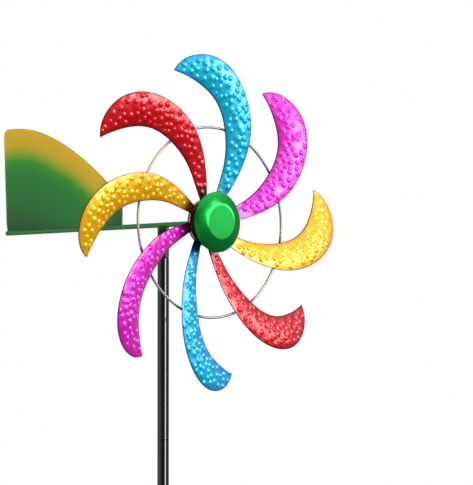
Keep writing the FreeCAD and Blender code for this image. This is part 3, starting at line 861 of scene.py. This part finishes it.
def build_tube(node, black):
    low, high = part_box(node)
    r, cut = (high.x - low.x) / 2, TUBE_CUT
    outline = [(r - TUBE_WALL, low.z), (r - cut, low.z), (r, low.z + cut)]
    outline += [(r, float(z)) for z in np.linspace(low.z + 2 * cut, high.z - 2 * cut, TUBE_RINGS)]
    outline += [(r, high.z - cut), (r - cut, high.z), (r - TUBE_WALL, high.z)]
    return lathe(node, "shell", outline, "ground_stake", TUBE_SEGMENTS, black, axis="z")


def build_stake(black):
    """Solid point below the tubes, with a thinner shank inside the lowest one."""
    low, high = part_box("stake_point")
    r, top = (high.x - low.x) / 2, high.z
    corners = [(0, low.z), (POINT_TIP, low.z), (r, low.z + POINT), (r, 0), (SHANK, 0), (SHANK, top), (0, top)]
    outline = rounded(corners, [0, 0.8, 6, 0.2, 0, 0.3, 0])
    return lathe("stake_point", "turned", outline, "ground_stake", TUBE_SEGMENTS, black, "z", closed=False)


def build_prong(black):
    """Bent rod, with a bead of weld where it meets the pole."""
    mount = next(m for m in frame["record"]["mounts"] if m["name"] == "prong_pin")
    radius = mount["dims"]["r_mm"] * MM
    out = Vector((*mount["pos_m"][:2], 0))
    heading, reach = out.normalized(), out.length - PRONG_BEND
    low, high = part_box("side_prong")
    bar = high.z - radius
    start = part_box("pole_lower_tube")[1].x - PRONG_SEAT
    path = [heading * start + UP * bar, heading * reach * 0.5 + UP * bar]
    for k in range(PRONG_BEND_STEPS + 1):
        a = math.pi / 2 * k / PRONG_BEND_STEPS
        outward, drop = PRONG_BEND * math.sin(a), PRONG_BEND * (1 - math.cos(a))
        path.append(heading * (reach + outward) + UP * (bar - drop))
    path += [out + UP * float(z) for z in np.linspace(bar - PRONG_BEND, low.z + PRONG_CUT, 12)[1:]]
    path.append(out + UP * low.z)
    last = len(path) - 1

    def thickness(t):
        return radius - PRONG_CUT if t * last > last - 0.5 else radius

    rod = sweep("side_prong_rod", path, thickness, "ground_stake", 48)
    rod.data.materials.append(black)
    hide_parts("side_prong")
    side = UP.cross(heading)
    along, around = PRONG_WELD_AT
    centre = heading * (start + along) + UP * bar
    ring = [centre + (side * math.cos(a) + UP * math.sin(a)) * (radius + around)
            for a in np.linspace(0, 2 * math.pi, 65)]
    return rod, bead("prong", "", ring, black)


def build_pole():
    """Its upright pieces, and the prong with its weld."""
    black = gloss_paint("pole_black_enamel", srgb(2, 2, 2), roughness=0.1, coat=0.0, peel=0.004, ior=1.22)
    upright = [build_tube(f"pole_{part}_tube", black) for part in ("lower", "middle", "upper")]
    upright.append(build_stake(black))
    return upright, build_prong(black)


# ---- boom, socket and vane ----
BOOM_CUT = 0.6 * MM  # chamfer at the boom's ends
BOOM_RINGS, BOOM_SEGMENTS = 90, 64
SOCKET_WELD_OUT = 0.3 * MM  # from where the boom's surface meets the socket's top
SOCKET_WELD_REACH = 0.86  # share of the socket's radius
VANE_WELDS = (0.1, 0.36, 0.62, 0.88)  # their places on the vane's foot, as shares of its length
VANE_WELD_HALF = 6 * MM
VANE_WELD_AT = (1.5 * MM, 0.35 * MM)  # out to the side, and down from the boom's top
VANE_ROWS, VANE_COLS = 90, 170
HEM_FOOT = [(0.45, 0), (0.12, 0.15), (0, 0.5)]  # its rounding, in from the hem's face and up, in mm
HEM_TOP = [(0, 0.6), (0.1, 0.25), (0.35, 0.05)]  # the same, in and down
CHAMFER = 3.4 * MM  # cut at the foot of the vane's trailing edge
CHAMFER_START = 0.92  # share of the vane's length before it
CHAMFER_TOP = 0.3  # share of it at the hem's top
CHAMFER_FADE = 5 * MM  # above the hem, the cut runs out over this height
TOP_THIN, END_THIN = 0.35, 0.6  # share of the gauge at the sheet's top edge, and at its ends
FRONT_GREEN = 48 * MM  # the gold runs out over this length at the vane's front
FRONT_DEPTH = 85 * MM  # as if the vane were this much deeper there


def build_boom():
    """Round rod, with its welds to the socket and the vane."""
    paint = gloss_paint("boom_green_enamel", srgb(16, 100, 38), roughness=0.2, coat=0.3, metallic=0.1,
                        ior=1.4)
    low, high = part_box("boom")
    r, cut = (high.x - low.x) / 2, BOOM_CUT
    outline = [(0, low.y), (r - cut, low.y)]
    outline += [(r, float(y)) for y in np.linspace(low.y + cut, high.y - cut, BOOM_RINGS)]
    outline += [(r - cut, high.y), (0, high.y)]
    lathe("boom", "rod", outline, "head", BOOM_SEGMENTS, paint, centre=(0, 0, HUB.z), closed=False)

    low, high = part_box("tail_vane")
    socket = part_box("swivel_socket")[1]
    meets = math.sqrt(max(0.0, r * r - (HUB.z - socket.z) ** 2)) + SOCKET_WELD_OUT
    reach = socket.x * SOCKET_WELD_REACH
    out, down = VANE_WELD_AT
    for side, sign in (("right", 1), ("left", -1)):
        path = [(sign * meets, y, socket.z) for y in np.linspace(-reach, reach, 40)]
        bead("socket", "_" + side, path, paint)
        for number, share in enumerate(VANE_WELDS, 1):
            middle = low.y + (high.y - low.y) * share
            places = np.linspace(middle - VANE_WELD_HALF, middle + VANE_WELD_HALF, 30)
            bead("vane", f"_{side}_{number}", [(sign * out, y, HUB.z + r - down) for y in places], paint)


def vane_patch():
    """Grid of (y, z) over the sheet above its hem, the top edge's height over it, and half the gauge."""
    bm = merged("tail_vane")
    outer = [f for f in bm.faces if f.normal.x > 0.9]
    half = min(round(f.calc_center_median().x, 5) for f in outer)
    flat = [f for f in outer if abs(f.calc_center_median().x - half) < 1e-5]
    points = boundary_loop(flat, (1, 2))
    bm.free()
    y, z = points.T
    front_low, rear_low = int(np.argmin(y + z)), int(np.argmax(y - z))
    front_top, rear_top = int(np.argmax(z - y)), int(np.argmax(y + z))
    s, t = np.linspace(0, 1, VANE_COLS), np.linspace(0, 1, VANE_ROWS)
    top = read_run(run_between(points, front_top, rear_top, rear_low), s)
    bottom = read_run(np.array([points[front_low], points[rear_low]]), s)
    front = read_run(run_between(points, front_low, front_top, rear_low), t)
    rear = read_run(run_between(points, rear_low, rear_top, front_low), t)
    s3, t3 = s[None, :, None], t[:, None, None]
    patch = (1 - t3) * bottom[None] + t3 * top[None] + (1 - s3) * front[:, None] + s3 * rear[:, None]
    patch -= (1 - s3) * ((1 - t3) * front[0] + t3 * front[-1]) + s3 * ((1 - t3) * rear[0] + t3 * rear[-1])
    return patch, np.interp(patch[..., 0], top[:, 0], top[:, 1]), half


def vane_side():
    """One side of the vane as a grid of points, from the hem's foot to the top edge, and its depth there."""
    low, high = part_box("tail_vane")
    patch, crest, half = vane_patch()
    hem_top = float(patch[0, :, 1].mean())
    near_rear = np.clip((np.linspace(0, 1, VANE_COLS) - CHAMFER_START) / (1 - CHAMFER_START), 0, 1)
    rows, depth = [], []
    hem = [(high.x - inwards * MM, low.z + up * MM) for inwards, up in HEM_FOOT]
    hem += [(high.x - inwards * MM, hem_top - down * MM) for inwards, down in HEM_TOP]
    for x, z in hem:
        share = CHAMFER_TOP + (1 - CHAMFER_TOP) * (hem_top - z) / (hem_top - low.z)
        rows.append(np.broadcast_arrays(x, patch[0, :, 0] - CHAMFER * share * near_rear, z))
        depth.append(crest[0] - z)
    for y, z in np.moveaxis(patch, 2, 1):
        cut = CHAMFER * CHAMFER_TOP * np.clip(1 - (z - hem_top) / CHAMFER_FADE, 0, 1) * near_rear
        rows.append(np.broadcast_arrays(half, y - cut, z))
    depth.extend(crest - patch[..., 1])
    side = np.stack([np.stack(row, -1) for row in rows])
    side[-1, :, 0] *= TOP_THIN
    side[:, [0, -1], 0] *= END_THIN
    return side, np.array(depth)


def build_vane():
    """Flat sheet on a folded hem. Its colour follows the depth below the top edge."""
    right, drop = vane_side()
    verts = np.concatenate([right, right * np.array([-1, 1, 1])]).reshape(-1, 3)
    height, cols = right.shape[:2]
    count = height * cols
    faces = grid_faces(height, cols) + grid_faces(height, cols, start=count)
    faces += rim_faces(grid_rim(height, cols), count)
    obj = make_object("tail_vane_sheet", verts, faces, "head", 30)
    ahead = np.clip((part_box("tail_vane")[0].y + FRONT_GREEN - right[..., 1]) / FRONT_GREEN, 0, 1)
    depth = drop + FRONT_DEPTH * ahead * ahead * (3 - 2 * ahead)
    ends = np.minimum(right[..., 1] - right[:, :1, 1], right[:, -1:, 1] - right[..., 1])
    for name, values in (("depth", depth), ("edge", np.minimum(drop * 0.85, ends))):
        set_attribute(obj, name, np.tile(values.ravel(), 2))
    obj.data.materials.append(vane_paint())
    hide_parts("tail_vane")


# ---- hidden pieces ----
def dress_hidden_nodes():
    """Paint for the CAD nodes that are kept as they are."""
    steel, plastic = zinc(), nylon()
    special = {
        "swivel_washer": gloss_paint("washer_black_oxide", srgb(9, 9, 10), roughness=0.4, coat=0.0, ior=1.28),
        "swivel_socket": gloss_paint("socket_fade", socket_fade, roughness=0.26, coat=0.2, ior=1.3),
    }
    for node, obj in NODES.items():
        if not obj.hide_render:
            obj.data.materials.clear()
            obj.data.materials.append(special.get(node, plastic if SLOTS[node] == "bush_plastic" else steel))


# ---- studio ----
# Panels, and a dark patch low in front: azimuth, elevation, degrees of full light and to none, strength.
PANELS = [
    (20, 10, 4, 14, 16.0),
    (34, 19, 4, 14, 12.0),
    (54, 12, 3, 11, 11.0),
    (42, 1, 5, 13, 2.2),
    (30, 14, 14, 56, 0.4),
    (25, 74, 20, 60, 1.8),
    (132, 2, 12, 48, 0.4),
    (-135, 0, 12, 40, 0.5),
    (-55, -24, 10, 42, 0.4),
]
SHADE = (38, -48, 24, 58, 0.7)
ROOM = 0.32  # the light between the panels

# Area lights: name, azimuth, elevation, watts, distance, size. The soft ones aren't seen in reflections.
SOFT_LIGHTS = [("key_light", 25, 42, 3.8), ("left_light", -85, 20, 19), ("right_light", 100, 20, 23),
               ("rear_light", 180, 35, 34)]
SOFT_REACH = (2.6, (1.6, 1.6))
POLE_STRIP = ("pole_strip", 5, 0, 420, 2.0, (0.6, 2.6))
POLE_FILL = ("pole_fill", -115, 0, 75, 2.0, (2.6, 2.6))

FLOOR_RADIUS, FLOOR_SEGMENTS = 3.0, 96
FLOOR_DROP = 1 * MM  # below the stake's tip
FLOOR_FADE = (0.9, 2.91)  # whole to the first radius, gone from the second

CAMERA_PLACE = (-41.75, -2.45)  # azimuth and elevation from its aim
CAMERA_DISTANCE = 4.62
CAMERA_AIM = (0.0311, -0.0231, 0)  # from the hub, to the right and up in the picture
LENS, SENSOR = 296.9, 36.0  # in mm
VIEW_LIMIT = 100


def direction(azimuth, elevation):
    """Unit vector: azimuth 0 is -Y, positive towards +X, both in degrees."""
    a, e = math.radians(azimuth), math.radians(elevation)
    return Vector((math.sin(a) * math.cos(e), -math.cos(a) * math.cos(e), math.sin(e)))


def build_world():
    """White to the camera, and in reflections a dim room with bright panels."""
    world = bpy.data.worlds.new("studio")
    bpy.context.scene.world = world
    s = Shader(world, "OutputWorld")
    view = s.put("TexCoord").outputs["Generated"]

    def patch(azimuth, elevation, full, none):
        towards = s.vector("DOT_PRODUCT", view, direction(azimuth, elevation))
        return s.step(towards, math.cos(math.radians(none)), math.cos(math.radians(full)))

    def background(level):
        return s.put("Background", Color=s.grey(level), Strength=1.0).outputs[0]

    level = ROOM
    for *place, strength in PANELS:
        level = s.scaled(patch(*place), strength, level)
    *place, strength = SHADE
    reflected = background(s.math("MULTIPLY", level, s.scaled(patch(*place), -strength, 1.0)))
    seen = s.put("LightPath").outputs["Is Camera Ray"]
    s.surface(s.put("MixShader", Fac=seen, i1=reflected, i2=background(1.0)).outputs[0])


def area_light(name, azimuth, elevation, watts, distance, size, **linked):
    """Rectangular light aimed at the hub. receiver and blocker list the only pieces for it."""
    light = bpy.data.lights.new(name, "AREA")
    light.shape = "RECTANGLE"
    light.size, light.size_y = size
    light.energy = watts
    obj = add_object(name, light)
    towards = direction(azimuth, elevation)
    obj.location = HUB + towards * distance
    obj.rotation_euler = (-towards).to_track_quat("-Z", "Y").to_euler()
    for role, pieces in linked.items():
        group = bpy.data.collections.new(f"{name}_{role}s")
        for piece in pieces:
            group.objects.link(piece)
        setattr(obj.light_linking, role + "_collection", group)
    return obj


def floor_paint():
    """Pale and matt, clear from its rim inwards."""
    s = material("pale_floor")
    fade = s.step(s.vector("LENGTH", s.place()), *FLOOR_FADE)
    tone = s.mix(s.noise(5.0, 4.0), (0.52, 0.52, 0.515), (0.58, 0.58, 0.58))
    paint = s.put("BsdfDiffuse", Color=tone, Roughness=0.5).outputs[0]
    clear = s.put("BsdfTransparent").outputs[0]
    s.surface(s.put("MixShader", Fac=fade, i1=paint, i2=clear).outputs[0])
    return s.owner


def build_floor():
    """Round floor just under the stake's tip, which fades out towards its edge."""
    r, level = FLOOR_RADIUS, GROUND - FLOOR_DROP
    mesh = bpy.data.meshes.new("studio_floor")
    verts = [(r * math.cos(a), r * math.sin(a), level) for a in turns(FLOOR_SEGMENTS)]
    mesh.from_pydata(verts, [], [tuple(range(FLOOR_SEGMENTS))])
    mesh.materials.append(floor_paint())
    floor = add_object("studio_floor", mesh)
    floor.visible_glossy = False
    return floor


def build_camera():
    """Long lens, left of the rotor's front and a little below the hub."""
    back = direction(*CAMERA_PLACE)
    turn = (-back).to_track_quat("-Z", "Y")
    aim = HUB + turn @ Vector(CAMERA_AIM)
    camera = bpy.data.cameras.new("photo_camera")
    camera.lens, camera.sensor_width, camera.clip_end = LENS, SENSOR, VIEW_LIMIT
    obj = add_object("photo_camera", camera)
    obj.matrix_world = Matrix.Translation(aim + back * CAMERA_DISTANCE) @ turn.to_matrix().to_4x4()
    bpy.context.scene.camera = obj


def build():
    build_blades()
    build_ring()
    build_cap()
    build_drum()
    hub_black = gloss_paint("hub_black_enamel", srgb(14, 9, 9), roughness=0.14, coat=0.25, spread=0.3)
    build_rear_cover(hub_black)
    build_rotor_welds(hub_black)
    build_boom()
    build_vane()
    upright, prong = build_pole()
    dress_hidden_nodes()
    build_world()
    for light in SOFT_LIGHTS:
        area_light(*light, *SOFT_REACH).visible_glossy = False
    floor = build_floor()
    area_light(*POLE_STRIP, receiver=upright, blocker=[floor])
    area_light(*POLE_FILL, receiver=[*upright, *prong], blocker=[floor])
    build_camera()
    bpy.context.scene.view_settings.view_transform = "Standard"


build()
